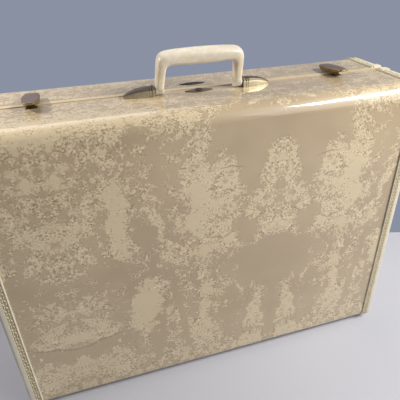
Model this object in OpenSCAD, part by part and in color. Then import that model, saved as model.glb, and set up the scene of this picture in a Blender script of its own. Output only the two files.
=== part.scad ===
// Hard suitcase of the 1950s: two equal halves hinged at the bottom, tapered towards the handle.
// Millimetres, +Z up, the front half with the handle and the lock towards -Y.
// The origin is on the floor, under the middle of the seam between the halves.
// A half is drawn as the rear one, with its depth along +Y, and mirrored for the front.

/* [Case] */
// Length over the bindings
case_w = 630; // [480:5:760]
// Height of the case above its feet
body_h = 452; // [360:4:520]
// Depth of each half beside the handle
half_depth = 90; // [70:1:120]
// Extra depth of each half beside the feet
taper = 15; // [0:1:25]
// Thickness of the wrapped panels
wall = 4; // [3:0.5:6]
// Outer radius of the bend beside the handle
top_bend_r = 22; // [14:1:30]
// Outer radius of the bend beside the feet
bottom_bend_r = 12; // [9:1:20]
// Thickness of the end panels
end_t = 5; // [3:0.5:8]
// Thickness of the lining
lining_t = 1.5; // [1:0.25:3]
// Gap between the two halves
seam_gap = 0.8; // [0.6:0.1:1.6]
// Gap between panels that seat on each other
seat_gap = 0.1; // [0.05:0.05:0.3]
// Clearance of pins in the bores that turn on them
run_gap = 0.05; // [0.02:0.01:0.09]

/* [Bindings] */
// Thickness of the binding
binding_t = 2; // [1.5:0.25:2.5]
// Width of the stitched strip on the wrapped panel
binding_face_w = 17; // [12:1:24]
// Width of the strip on the end panel
binding_end_w = 11; // [7:0.5:11]
// Radius of the rolled edge
binding_r = 5; // [3:0.5:5.5]
// Radius of the bead along the inner edge
bead_r = 1.5; // [1:0.25:2]
// Length of a binding end clip along the binding
clip_l = 11; // [6:1:14]
// Width of a binding end clip
clip_w = 13.5; // [8:0.5:13.5]
// Thickness of a binding end clip
clip_t = 0.8; // [0.6:0.1:1.2]

/* [Closing rims] */
// Thickness of the rim metal
rim_t = 1.2; // [0.8:0.1:1.8]
// Width of the raised strip on the rear half
rim_strip_w = 8; // [6:0.5:8.5]
// Height of that strip above the covering
rim_proud = 1; // [0.6:0.1:1.2]
// Depth of the legs inside the walls
rim_leg = 4.8; // [3:0.2:5]
// Reach of the tongue into the front half
tongue_l = 5.6; // [4:0.2:6]
// Thickness of the tongue
tongue_t = 1.6; // [1:0.2:2]
// Clearance round the tongue
tongue_gap = 0.5; // [0.4:0.1:1]
// Height above the underside where the tongue begins
tongue_start = 45; // [30:5:80]

/* [Hinges and feet] */
// Distance of each hinge from the end
hinge_inset = 125; // [105:5:160]
// Width of a hinge
hinge_w = 60; // [40:5:80]
// Length of a hinge leaf
hinge_leaf_l = 22; // [14:1:30]
// Thickness of a hinge leaf
hinge_leaf_t = 1.2; // [0.8:0.1:1.5]
// Distance of the hinge axis below the underside
hinge_drop = 3; // [2.8:0.1:3.4]
// Outer radius of the knuckles
knuckle_r = 2.7; // [2.4:0.1:2.7]
// Radius of the hinge pins
hinge_pin_r = 1.25; // [1:0.05:1.4]
// Number of knuckles in a hinge
knuckles = 5; // [3:2:7]
// Gap between knuckles
knuckle_gap = 0.4; // [0.3:0.1:0.8]
// Height of the feet
foot_h = 7; // [6.5:0.5:10]
// Radius of a foot where it meets the case
foot_r = 9; // [7:0.5:12]
// Radius of the flat that a foot stands on
foot_flat_r = 5; // [3:0.5:6]
// Distance of the feet from the ends
foot_inset_x = 45; // [35:5:70]
// Distance of the feet from the front and rear faces
foot_inset_d = 30; // [25:1:40]

/* [Handle] */
// Distance of the handle and the lock in front of the seam
handle_d = 10; // [9.5:0.5:14]
// Height of the handle pivot above the case
pivot_h = 8; // [7.5:0.5:10]
// Half the distance between the legs, on their middle lines
handle_half_span = 56; // [48:1:64]
// Height of the middle line of the grip above the pivot
handle_rise = 44; // [38:1:55]
// Squareness of the handle outline
handle_square = 8; // [5:0.5:10]
// Inward draw of the legs on their way up
handle_draw = 3; // [0:0.5:6]
// Width of a handle leg
leg_w = 12; // [10:0.5:16]
// Depth of a handle leg, front to rear
leg_depth = 14.5; // [11:0.5:15]
// Thickness of the grip in its middle
grip_t = 19.5; // [16:0.5:24]
// Thickness of the grip at its ends
grip_end_t = 14; // [12:0.5:18]
// Depth of the grip, front to rear
grip_depth = 19.5; // [14:0.5:22]
// Forward lean of the handle as it stands
handle_lean = 15; // [0:1:30]
// Radius of the handle pins
handle_pin_r = 3; // [2:0.25:3.5]
// Length of a handle pin inside the mount
handle_pin_seat = 14; // [8:1:20]

/* [Handle mounts] */
// Gap between a handle leg and its mount
mount_gap = 1.2; // [0.8:0.1:2]
// Length of a mount
mount_l = 42; // [36:1:50]
// Width of a mount
mount_w = 17; // [13:0.5:19]
// Height of a mount
mount_h = 13.5; // [12:0.5:16]
// Thickness of the collar beside the handle
collar_t = 3.5; // [2.5:0.5:5]
// Radius of a rivet shank
rivet_r = 2; // [1.5:0.25:2.5]
// Radius of a rivet head
rivet_head_r = 4; // [3:0.25:4.5]
// Thickness of a rivet head
rivet_head_t = 1.5; // [1:0.25:2]

/* [Lock] */
// Length of the leaf plates
lock_leaf_l = 40; // [32:1:50]
// Width of the lock plate
lock_plate_w = 13; // [11.5:0.5:16]
// Thickness of the leaf plates
lock_plate_t = 1.2; // [0.8:0.1:1.4]
// Radius of the lock cylinder
lock_r = 4; // [3.5:0.25:4.25]
// Radius of the cylinder head
lock_head_r = 5; // [4.5:0.25:5.5]
// Height of the cylinder head
lock_head_t = 1.4; // [1:0.1:2]
// Radius of the half-round cam under the cylinder
cam_r = 5.5; // [4.5:0.25:6]
// Thickness of the cam
cam_t = 4; // [3:0.5:4.5]
// Half the length of the lock case
lock_case_x = 17; // [15.5:0.5:22]
// Height of the lock case
lock_case_h = 13; // [12:0.5:16]
// Thickness of the lock case and strike sheet
lock_sheet_t = 1.5; // [1:0.1:1.8]
// Distance of the strike cover behind the seam
strike_d = 25; // [20:1:32]
// Width of the strike cover
strike_w = 10; // [8:0.5:12]

/* [Latches] */
// Distance of each latch from the end
latch_inset = 95; // [75:5:130]
// Width of a latch cover
latch_w = 23; // [21:1:26]
// Reach of a latch cover in front of the seam
latch_front = 27; // [24:1:30]
// Reach of a latch cover behind the seam
latch_rear = 31; // [30:0.5:33]
// Height of a latch cover above the case when closed
latch_top = 9.5; // [9:0.25:11]
// Sheet thickness of a latch cover
latch_sheet = 1.2; // [1:0.1:1.4]
// Distance of the latch pivot behind the seam
latch_pivot_d = 25; // [24:0.5:25.5]
// Height of the latch pivot above the case
latch_pivot_h = 5.5; // [5:0.25:6]
// Radius of the latch pins
latch_pin_r = 1; // [0.8:0.1:1.2]
// Radius of the ears round the latch pins
latch_ear_r = 2.2; // [2:0.1:2.4]
// Angle by which the covers stand popped up
latch_pop = 5; // [4:0.5:12]
// Height of the keeper bar above the case
keeper_h = 4; // [3:0.25:4.5]
// Distance of the front of the keeper bar from the seam
keeper_d = 8; // [7:0.5:9]
// Clearance of the tab in front of the keeper bar
latch_play = 0.3; // [0.2:0.05:0.5]
// Turns of a latch spring
spring_turns = 4; // [3:1:5]
// Radius of the spring wire
spring_wire_r = 0.4; // [0.3:0.05:0.45]

/* [Hidden] */
$fn = 64;

// The photographed colours
vinyl = [0.80, 0.70, 0.54];
cream = [0.86, 0.80, 0.66];
ivory = [0.90, 0.86, 0.75];
brass = [0.78, 0.66, 0.36];
bronze = [0.40, 0.34, 0.26];
steel = [0.62, 0.62, 0.62];
black = [0.08, 0.08, 0.08];
satin = [0.72, 0.62, 0.50];

// Main levels and the slope of the front and rear faces
top_z = foot_h + body_h;
lean = atan(taper / body_h);
half_seam = seam_gap / 2;
end_x = case_w / 2 - binding_t;
edge_d = half_seam + rim_t + seat_gap;
leg_end_d = half_seam + rim_leg;
lining_d = max(leg_end_d, tongue_l) + 0.6;
hinge_z = foot_h - hinge_drop;
leaf_start = knuckle_r + 1.5;
foot_x = case_w / 2 - foot_inset_x;
hinge_x = case_w / 2 - hinge_inset;
latch_x = case_w / 2 - latch_inset;
body_binding_d = edge_d + clip_t + 2 * seat_gap;
lid_binding_d = half_seam + rim_strip_w + clip_t + 2 * seat_gap;

// Handle places
pivot_z = top_z + pivot_h;
leg_out_x = handle_half_span + leg_w / 2;
mount_x = leg_out_x + mount_gap;
handle_bore_x = handle_half_span - leg_w / 2 + 2;
mount_tip = 4;
rivet_x = [mount_x + handle_pin_seat + rivet_r, mount_x + mount_l - 3 * rivet_r - 4];
cutout_gap = 2;

// Lock levels: the case hangs under the top wall, and the cam turns just above its floor
hook_play = 0.4;
hook_lip = 2.4;
hook_x = 0.4;
hook_w = 10.6;
hook_tip_d = handle_d + cam_r + hook_play + hook_lip;
case_top_z = top_z - wall;
case_floor_z = case_top_z - lock_case_h + lock_sheet_t;
case_front_d = tongue_l + 1;
case_rear_d = hook_tip_d + 0.6 + lock_sheet_t;
cam_z = case_floor_z + 0.3;
cam_top_z = cam_z + cam_t;
hook_z = cam_z + hook_play;
hook_t = cam_t - 1;
strike_x = 12;
strike_end_d = 20;

// Latch places
latch_wide_d = 6;
latch_clear = 2;
latch_mid = 7.5;
latch_low_inset = 2.5;
latch_top_inset = 2;
latch_tip_w = 12;
latch_corner_r = 3.5;
latch_rise_d = 10.5;
latch_tip_low = 5.5;
latch_skirt = 4.5;
latch_reach = latch_front + latch_wide_d;
latch_drop = (latch_w - latch_tip_w) / 2;
latch_side_r = (latch_reach * latch_reach + latch_drop * latch_drop) / (2 * latch_drop);
tab_t = 1.6;
tab_x = 4;
ear_x = 4;
ear_t = 1.5;
lug_x = ear_x + ear_t + 0.3;
lug_end_x = lug_x + 2;
bracket_d = half_seam + rim_strip_w + 0.5;
bracket_t = 1.2;
slab = 0.02;
eps = 0.01;

// Depth of the sloping face at height z
function face_d(z) = half_depth + taper * (top_z - z) / body_h;

// Bend radius and bend centre of the half's profile, drawn inwards by inset
function bend_r(r, inset) = max(r - inset, 0);
function top_centre(inset) =
    let (r = bend_r(top_bend_r, inset), z = top_z - inset - r)
    [face_d(z) - (inset + r) / cos(lean), z];
function bottom_centre(inset) =
    let (r = bend_r(bottom_bend_r, inset), z = foot_h + inset + r)
    [face_d(z) - (inset + r) / cos(lean), z];

// Outline of a half across its depth, open side at d0.
// The sloping face runs a hair inside the bends, so that it cuts them cleanly.
module half_profile(inset, d0) {
    top_r = bend_r(top_bend_r, inset);
    bottom_r = bend_r(bottom_bend_r, inset);
    top_c = top_centre(inset);
    bottom_c = bottom_centre(inset);
    normal = [cos(lean), sin(lean)];
    polygon([
        [d0, bottom_c.y - bottom_r],
        [bottom_c.x, bottom_c.y - bottom_r],
        bottom_c + max(bottom_r - eps, 0) * normal,
        top_c + max(top_r - eps, 0) * normal,
        [top_c.x, top_c.y + top_r],
        [d0, top_c.y + top_r]
    ]);
    if (top_r > eps) translate(top_c) circle(top_r);
    if (bottom_r > eps) translate(bottom_c) circle(bottom_r);
}

// Extrude an outline of depth and height along the case, from x0 to x1
module along_x(x0, x1) {
    translate([x0, 0, 0]) rotate([90, 0, 90]) linear_extrude(x1 - x0) children();
}

// Extrude an outline of length and height from depth d0 to depth d1
module along_d(d0, d1) {
    translate([0, d1, 0]) rotate([90, 0, 0]) linear_extrude(d1 - d0) children();
}

// Outside of a binding round the right-hand end, with its edge rolled over onto the end panel
module rolled_block(d0) {
    steps = 5;
    hull() {
        along_x(end_x - binding_face_w + bead_r, end_x) half_profile(-binding_t, d0, $fn = 48);
        for (i = [1 : steps]) {
            turn = 90 * i / steps;
            x = end_x + binding_t - binding_r * (1 - sin(turn));
            along_x(x - slab, x) half_profile(binding_r * (1 - cos(turn)) - binding_t, d0, $fn = 48);
        }
    }
}

// Bead along the inner edge of a binding
module bead(d0) {
    start = end_x - binding_face_w;
    proud = binding_t + 0.8 * bead_r;
    hull() {
        along_x(start, start + 2 * bead_r) half_profile(0.6 * bead_r - proud, d0, $fn = 48);
        along_x(start + 0.5 * bead_r, start + 1.5 * bead_r) half_profile(-proud, d0, $fn = 48);
    }
}

// Binding of the right-hand end of the rear half
module binding(d0) {
    color(cream)
        difference() {
            union() {
                rolled_block(d0);
                bead(d0);
            }
            along_x(end_x - 2 * binding_face_w, end_x) half_profile(0, d0 - 1);
            along_x(end_x - 1, end_x + 2 * binding_t) half_profile(binding_end_w, d0 - 1);
        }
}

// Clips over the four binding ends of a half
module clips(d0) {
    lip_d = d0 - seat_gap - clip_t;
    color(cream)
        for (side = [0, 1])
            mirror([side, 0, 0])
                translate([end_x - clip_w, 0, 0]) {
                    for (face = [[top_z, 1], [foot_h, -1]])
                        translate([0, lip_d, face[0]]) scale_z(face[1]) {
                            cube([clip_w, clip_t, binding_t + seat_gap + clip_t]);
                            translate([0, 0, binding_t + seat_gap]) cube([clip_w, clip_l, clip_t]);
                        }
                }
}

module scale_z(sign) {
    if (sign > 0) children();
    else mirror([0, 0, 1]) children();
}

// Wrapped panel of a half
module wrapped_panel() {
    difference() {
        along_x(-end_x, end_x) half_profile(0, edge_d);
        along_x(-end_x - 1, end_x + 1) half_profile(wall, edge_d - 1);
    }
}

// Right-hand end panel of a half
module end_panel() {
    color(vinyl) along_x(end_x - end_t, end_x) half_profile(wall + seat_gap, edge_d);
}

// Lining of a half, with room for the pieces under the top wall
module lining_skin() {
    outer = wall + 2 * seat_gap;
    inner_x = end_x - end_t - seat_gap;
    difference() {
        along_x(-inner_x, inner_x) half_profile(outer, lining_d);
        along_x(lining_t - inner_x, inner_x - lining_t) half_profile(outer + lining_t, lining_d - 1);
        children();
    }
}

// Block that clears the lining from depth d0 to d1 under the top wall
module lining_cutout(x0, x1, d1) {
    translate([x0, 0, top_z - wall - lining_t - 2]) cube([x1 - x0, d1, lining_t + 3]);
}

// Rectangle of the seam opening, drawn inwards from the outside of the walls
module seam_rect(inset_x, inset_z) {
    translate([inset_x - end_x, foot_h + inset_z])
        square([2 * (end_x - inset_x), body_h - 2 * inset_z]);
}

module seam_ring(out_x, out_z, in_x, in_z) {
    difference() {
        seam_rect(out_x, out_z);
        seam_rect(in_x, in_z);
    }
}

// Leg of a rim inside the walls, with the web that covers their edges
module rim_channel(proud, web_in) {
    leg_x = end_t + seat_gap;
    leg_z = wall + seat_gap;
    along_d(half_seam, half_seam + rim_t) seam_ring(-proud, -proud, leg_x + web_in, leg_z + web_in);
    along_d(half_seam, leg_end_d) seam_ring(leg_x, leg_z, leg_x + rim_t, leg_z + rim_t);
}

module at_hinges() {
    for (side = [-1, 1]) translate([side * hinge_x, 0, 0]) children();
}

// One hinge leaf with the knuckles of the given numbers, under the rear half
module hinge_leaf(own) {
    pitch = hinge_w / knuckles;
    color(brass)
        difference() {
            union() {
                translate([-hinge_w / 2, leaf_start, foot_h - hinge_leaf_t])
                    cube([hinge_w, hinge_leaf_l, hinge_leaf_t]);
                for (i = own)
                    translate([-hinge_w / 2 + i * pitch + knuckle_gap / 2, 0, 0]) {
                        translate([0, 0, hinge_z]) rotate([0, 90, 0]) cylinder(r = knuckle_r, h = pitch - knuckle_gap);
                        translate([0, 0, foot_h - hinge_leaf_t])
                            cube([pitch - knuckle_gap, leaf_start + 1, hinge_leaf_t]);
                    }
            }
            translate([-hinge_w / 2 - 1, 0, hinge_z]) rotate([0, 90, 0])
                cylinder(r = hinge_pin_r + run_gap, h = hinge_w + 2);
        }
}

module hinge_pin() {
    head_t = 0.8;
    head_r = hinge_pin_r + 0.8;
    color(steel)
        translate([-hinge_w / 2, 0, hinge_z]) rotate([0, 90, 0]) {
            cylinder(r = hinge_pin_r, h = hinge_w);
            translate([0, 0, -head_t]) cylinder(r = head_r, h = head_t);
            translate([0, 0, hinge_w]) cylinder(r = head_r, h = head_t);
        }
}

// Domed feet of a half
module feet() {
    ball_z = (foot_r * foot_r - foot_flat_r * foot_flat_r + foot_h * foot_h) / (2 * foot_h);
    ball_r = sqrt(foot_flat_r * foot_flat_r + ball_z * ball_z);
    color(brass)
        for (side = [-1, 1])
            translate([side * foot_x, half_depth + taper - foot_inset_d, 0])
                rotate_extrude()
                    intersection() {
                        translate([0, ball_z]) circle(ball_r);
                        square([foot_r + 1, foot_h]);
                    }
}

// Leaf outline: two arcs that meet in points at both ends
module leaf(l, w) {
    r = (l * l + w * w) / (4 * w);
    intersection() {
        translate([0, r - w / 2]) circle(r);
        translate([0, w / 2 - r]) circle(r);
    }
}

// Outline of the handle over the angle t, as a rounded box of the size 1, from the right leg to the left one
function power(v, p) = sign(v) * pow(abs(v), p);
function handle_unit(t) =
    let (r = pow(pow(abs(cos(t)), handle_square) + pow(abs(sin(t)), handle_square), -1 / handle_square))
    [r * cos(t), r * sin(t)];
// Outer (side 1) or inner (side -1) edge: the legs draw inwards and the grip is thickest in its middle
function handle_edge(t, side) =
    let (u = handle_unit(t), half_grip = (grip_t - (grip_t - grip_end_t) * u.x * u.x) / 2)
    [u.x * (handle_half_span - handle_draw * u.y + side * leg_w / 2), u.y * (handle_rise + side * half_grip)];
// The section deepens from the legs to the grip
function swell(t) = let (s = handle_unit(t).y) s * s * s * (4 - 3 * s);
section_sides = 16;
section_square = 3.2;
handle_rings = 60;
function handle_ring(t) =
    let (
        outer = handle_edge(t, 1), inner = handle_edge(t, -1),
        middle = (outer + inner) / 2, half = (outer - inner) / 2,
        half_d = (leg_depth + (grip_depth - leg_depth) * swell(t)) / 2
    )
    [for (k = [0 : section_sides - 1])
        let (
            a = -360 * k / section_sides,
            across = middle + half * power(cos(a), 2 / section_square)
        )
        [across.x, half_d * power(sin(a), 2 / section_square), across.y]];

// Solid tube through rings of points with equal counts, closed at both ends
module tube_of_rings(rings) {
    sides = len(rings[0]);
    last = len(rings) - 1;
    points = [for (ring = rings) each ring];
    skin = [for (i = [0 : last - 1], k = [0 : sides - 1])
        let (a = i * sides + k, b = i * sides + (k + 1) % sides)
        each [[a, b, b + sides], [a, b + sides, a + sides]]];
    first_cap = [for (k = [1 : sides - 2]) [0, k + 1, k]];
    end = last * sides;
    last_cap = [for (k = [1 : sides - 2]) [end, end + k, end + k + 1]];
    polyhedron(points, concat(skin, first_cap, last_cap));
}

// Front half

module body_shell() {
    color(vinyl)
        difference() {
            mirror([0, 1, 0]) wrapped_panel();
            translate([0, -handle_d, top_z - wall - 1]) cylinder(r = lock_r + 0.3, h = wall + 2);
            at_rivets() translate([0, 0, top_z - wall - 1]) cylinder(r = rivet_r + run_gap, h = wall + 2);
        }
}

module body_end_right() { mirror([0, 1, 0]) end_panel(); }
module body_end_left() { mirror([1, 0, 0]) body_end_right(); }
module body_binding_right() { mirror([0, 1, 0]) binding(body_binding_d); }
module body_binding_left() { mirror([1, 0, 0]) body_binding_right(); }
module body_clips() { mirror([0, 1, 0]) clips(body_binding_d); }
module body_rim() { color(satin) mirror([0, 1, 0]) rim_channel(0, rim_t); }
module body_feet() { mirror([0, 1, 0]) feet(); }

module body_lining() {
    color(satin)
        mirror([0, 1, 0])
            lining_skin() {
                lining_cutout(-lock_case_x - cutout_gap, lock_case_x + cutout_gap, case_rear_d + cutout_gap);
                for (side = [0, 1])
                    mirror([side, 0, 0])
                        lining_cutout(rivet_x[0] - rivet_head_r - cutout_gap, rivet_x[1] + rivet_head_r + cutout_gap,
                                      handle_d + rivet_head_r + cutout_gap);
            }
}

module hinge_leaf_body_right() {
    translate([hinge_x, 0, 0]) mirror([0, 1, 0]) hinge_leaf([0 : 2 : knuckles - 1]);
}
module hinge_leaf_body_left() { mirror([1, 0, 0]) hinge_leaf_body_right(); }
module hinge_pin_right() { translate([hinge_x, 0, 0]) hinge_pin(); }
module hinge_pin_left() { translate([-hinge_x, 0, 0]) hinge_pin(); }

// Section of a mount: flat top between two sloping sides
module mount_section(w, h) {
    polygon([
        [-w / 2, 0], [w / 2, 0], [0.46 * w, 0.55 * h], [0.3 * w, h], [-0.3 * w, h], [-0.46 * w, 0.55 * h]
    ]);
}

module handle_mount_right() {
    groove_w = 1.4;
    rib_w = 2;
    rib_x = mount_x + collar_t + groove_w;
    start = rib_x + rib_w + groove_w;
    color(brass)
        translate([0, -handle_d, top_z])
            difference() {
                union() {
                    along_x(mount_x, mount_x + collar_t) mount_section(mount_w, mount_h);
                    along_x(mount_x + collar_t - eps, start + eps) mount_section(mount_w - 2.4, mount_h - 1.6);
                    along_x(rib_x, rib_x + rib_w) mount_section(mount_w - 0.8, mount_h - 0.6);
                    hull() {
                        along_x(start, start + slab) mount_section(mount_w - 1, mount_h - 0.8);
                        along_x(mount_x + 0.6 * mount_l, mount_x + 0.6 * mount_l + slab)
                            mount_section(0.82 * mount_w, 0.82 * mount_h);
                        along_x(mount_x + mount_l - slab, mount_x + mount_l) mount_section(mount_tip, mount_tip);
                    }
                }
                translate([mount_x - 1, 0, pivot_h]) rotate([0, 90, 0])
                    cylinder(r = handle_pin_r + run_gap / 2, h = handle_pin_seat + 1 + seat_gap);
            }
}
module handle_mount_left() { mirror([1, 0, 0]) handle_mount_right(); }

module handle_pin_right() {
    pin_start = handle_bore_x + 2 * seat_gap;
    color(steel)
        translate([pin_start, -handle_d, pivot_z]) rotate([0, 90, 0])
            cylinder(r = handle_pin_r, h = mount_x + handle_pin_seat - pin_start);
}
module handle_pin_left() { mirror([1, 0, 0]) handle_pin_right(); }

module at_rivets() {
    for (side = [-1, 1], x = rivet_x) translate([side * x, -handle_d, 0]) children();
}

module mount_rivets() {
    color(brass)
        at_rivets() {
            translate([0, 0, top_z - wall]) cylinder(r = rivet_r, h = wall);
            translate([0, 0, top_z - wall - rivet_head_t]) cylinder(r = rivet_head_r, h = rivet_head_t);
        }
}

module lock_plate() {
    color(bronze)
        translate([0, -handle_d, top_z])
            linear_extrude(lock_plate_t)
                difference() {
                    leaf(lock_leaf_l, lock_plate_w);
                    circle(lock_r + 2 * run_gap);
                }
}

// Lock cylinder with its keyhole, and the half-round cam that turns into the hook of the strike
module lock_cylinder() {
    head_z = top_z + lock_plate_t + seat_gap;
    key_w = 1.6;
    key_l = 5;
    key_depth = 8;
    color(bronze)
        translate([0, -handle_d, 0]) {
            difference() {
                union() {
                    translate([0, 0, cam_top_z - eps]) cylinder(r = lock_r, h = head_z - cam_top_z + 2 * eps);
                    translate([0, 0, head_z]) cylinder(r = lock_head_r, h = lock_head_t);
                }
                translate([-key_l / 2, -key_w / 2, head_z + lock_head_t - key_depth])
                    cube([key_l, key_w, key_depth + 1]);
            }
            translate([0, 0, cam_z])
                linear_extrude(cam_t)
                    difference() {
                        circle(cam_r);
                        translate([-hook_x, -2 * cam_r]) square(4 * cam_r);
                    }
        }
}

module lock_case() {
    color(steel)
        difference() {
            translate([-lock_case_x, -case_rear_d, case_top_z - lock_case_h])
                cube([2 * lock_case_x, case_rear_d - case_front_d, lock_case_h]);
            translate([lock_sheet_t - lock_case_x, lock_sheet_t - case_rear_d, case_floor_z])
                cube([2 * (lock_case_x - lock_sheet_t), case_rear_d, lock_case_h - 2 * lock_sheet_t]);
            translate([0, -handle_d, case_top_z - lock_sheet_t - 1]) cylinder(r = lock_r + run_gap, h = lock_sheet_t + 2);
        }
}

module latch_keeper() {
    base_t = 1;
    base_x = 7;
    bar_l = 3;
    color(brass)
        translate([latch_x, 0, top_z]) {
            translate([-base_x, -keeper_d - 3, 0]) cube([2 * base_x, keeper_d + 1, base_t]);
            translate([-tab_x, -keeper_d, 0]) cube([2 * tab_x, bar_l, keeper_h]);
        }
}
module latch_keeper_right() { latch_keeper(); }
module latch_keeper_left() { mirror([1, 0, 0]) latch_keeper(); }

// Moulded handle, drawn upright about its pivot and leaned forward
module handle_grip() {
    color(ivory)
        translate([0, -handle_d, pivot_z]) rotate([handle_lean, 0, 0])
            difference() {
                union() {
                    tube_of_rings([for (i = [0 : handle_rings]) handle_ring(180 * i / handle_rings)]);
                    for (side = [0, 1])
                        mirror([side, 0, 0])
                            translate([handle_half_span - leg_w / 2, 0, 0]) rotate([0, 90, 0])
                                cylinder(r = leg_depth / 2, h = leg_w);
                }
                for (side = [0, 1])
                    mirror([side, 0, 0])
                        translate([handle_bore_x, 0, 0]) rotate([0, 90, 0])
                            cylinder(r = handle_pin_r + run_gap, h = leg_w);
            }
}

// Rear half, the lid

module lid_shell() { color(vinyl) wrapped_panel(); }
module lid_end_right() { end_panel(); }
module lid_end_left() { mirror([1, 0, 0]) end_panel(); }
module lid_binding_right() { binding(lid_binding_d); }
module lid_binding_left() { mirror([1, 0, 0]) binding(lid_binding_d); }
module lid_clips() { clips(lid_binding_d); }
module lid_feet() { feet(); }

module lid_rim() {
    tongue_in = rim_t + tongue_gap;
    tongue_x = end_t + seat_gap + tongue_in;
    tongue_z = wall + seat_gap + tongue_in;
    color(cream)
        difference() {
            union() {
                rim_channel(rim_proud, tongue_in + tongue_t);
                along_d(half_seam, half_seam + rim_strip_w) seam_ring(-rim_proud, -rim_proud, -seat_gap, -seat_gap);
                difference() {
                    along_d(-tongue_l, half_seam + rim_t)
                        seam_ring(tongue_x, tongue_z, tongue_x + tongue_t, tongue_z + tongue_t);
                    translate([-case_w, -case_w, 0]) cube([2 * case_w, 2 * case_w, foot_h + tongue_start]);
                }
            }
            at_hinges()
                translate([-hinge_w / 2 - 2, -1, foot_h - rim_proud - 1])
                    cube([hinge_w + 4, rim_strip_w + 2, rim_proud + 1]);
        }
}

module lid_lining() {
    color(satin)
        lining_skin()
            lining_cutout(-strike_x - cutout_gap, strike_x + cutout_gap, strike_end_d + cutout_gap);
}

module hinge_leaf_lid_right() { translate([hinge_x, 0, 0]) hinge_leaf([1 : 2 : knuckles - 2]); }
module hinge_leaf_lid_left() { translate([-hinge_x, 0, 0]) hinge_leaf([1 : 2 : knuckles - 2]); }

// Strike: a plate under the top wall of the lid, with a hook that reaches round the cam
module lock_strike() {
    plate_d = leg_end_d + 2 * seat_gap;
    leg_t = 2;
    color(steel) {
        translate([-strike_x, plate_d, case_top_z - lock_sheet_t])
            cube([2 * strike_x, strike_end_d - plate_d, lock_sheet_t]);
        translate([hook_x, plate_d, hook_z]) cube([hook_w, leg_t, case_top_z - hook_z - eps]);
        translate([0, 0, hook_z])
            linear_extrude(hook_t)
                difference() {
                    translate([hook_x, -hook_tip_d]) square([hook_w, hook_tip_d + plate_d + leg_t]);
                    translate([0, -handle_d]) circle(cam_r + hook_play);
                }
    }
}

module strike_cover() {
    slot_l = 0.6 * lock_leaf_l;
    slot_w = 2.4;
    slot_depth = 0.6;
    color(black)
        translate([0, strike_d, top_z])
            difference() {
                linear_extrude(lock_plate_t - 0.2) leaf(lock_leaf_l - 2, strike_w);
                translate([-slot_l / 2, -slot_w / 2, lock_plate_t - 0.2 - slot_depth]) cube([slot_l, slot_w, 1]);
            }
}

module at_latch_pivot() { translate([latch_x, latch_pivot_d, top_z + latch_pivot_h]) children(); }

module latch_bracket_right() {
    color(steel)
        difference() {
            union() {
                translate([latch_x - ear_x - ear_t, bracket_d, top_z])
                    cube([2 * (ear_x + ear_t), latch_pivot_d + 1 - bracket_d, bracket_t]);
                for (side = [0, 1])
                    at_latch_pivot() mirror([side, 0, 0])
                        translate([ear_x, 0, 0]) {
                            rotate([0, 90, 0]) cylinder(r = latch_ear_r, h = ear_t);
                            translate([0, -latch_ear_r, -latch_pivot_h]) cube([ear_t, latch_ear_r, latch_pivot_h]);
                        }
            }
            at_latch_pivot() translate([-lug_end_x, 0, 0]) rotate([0, 90, 0])
                cylinder(r = latch_pin_r + run_gap / 2, h = 2 * lug_end_x);
        }
}
module latch_bracket_left() { mirror([1, 0, 0]) latch_bracket_right(); }

module latch_pin_right() {
    pin_end = lug_end_x - seat_gap - 0.4;
    color(steel)
        at_latch_pivot() translate([-pin_end, 0, 0]) rotate([0, 90, 0]) cylinder(r = latch_pin_r, h = 2 * pin_end);
}
module latch_pin_left() { mirror([1, 0, 0]) latch_pin_right(); }

// Coil spring round the latch pin, as one tube along a helix
spring_r = latch_pin_r + spring_wire_r + 0.4;
spring_l = 2 * (ear_x - spring_wire_r) - 1;
spring_pitch = spring_l / spring_turns;
function spring_ring(i) =
    let (a = 30 * i, x = -spring_l / 2 + spring_pitch * a / 360)
    [for (k = [0 : 5])
        let (b = 60 * k, r = spring_r + spring_wire_r * cos(b))
        [x + spring_wire_r * sin(b), r * cos(a), r * sin(a)]];
echo(str("latch spring gap between turns: ", spring_pitch - 2 * spring_wire_r));

module latch_spring_right() {
    color(steel) at_latch_pivot() tube_of_rings([for (i = [0 : 12 * spring_turns]) spring_ring(i)]);
}
module latch_spring_left() { mirror([1, 0, 0]) latch_spring_right(); }

// Outline of a latch cover from above: curved sides, narrower at the front, with round corners
module latch_outline(inset) {
    offset_x = latch_side_r - latch_w / 2;
    offset(r = latch_corner_r, $fn = 24)
        offset(delta = -latch_corner_r - inset)
            intersection() {
                translate([offset_x, latch_wide_d]) circle(latch_side_r, $fn = 180);
                translate([-offset_x, latch_wide_d]) circle(latch_side_r, $fn = 180);
                translate([-latch_w, -latch_front]) square([2 * latch_w, latch_front + latch_rear]);
            }
}

// Boat hull of a latch cover, drawn inwards by the sheet for its hollow
module latch_hull(sheet) {
    low = latch_clear - (sheet > 0 ? 0.5 : 0);
    hull() {
        translate([0, 0, low]) linear_extrude(slab) latch_outline(latch_low_inset + sheet);
        translate([0, 0, latch_mid]) linear_extrude(slab) latch_outline(sheet);
        translate([0, 0, latch_top - sheet - slab])
            linear_extrude(slab) latch_outline(latch_top_inset + sheet / 2);
    }
}

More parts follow.
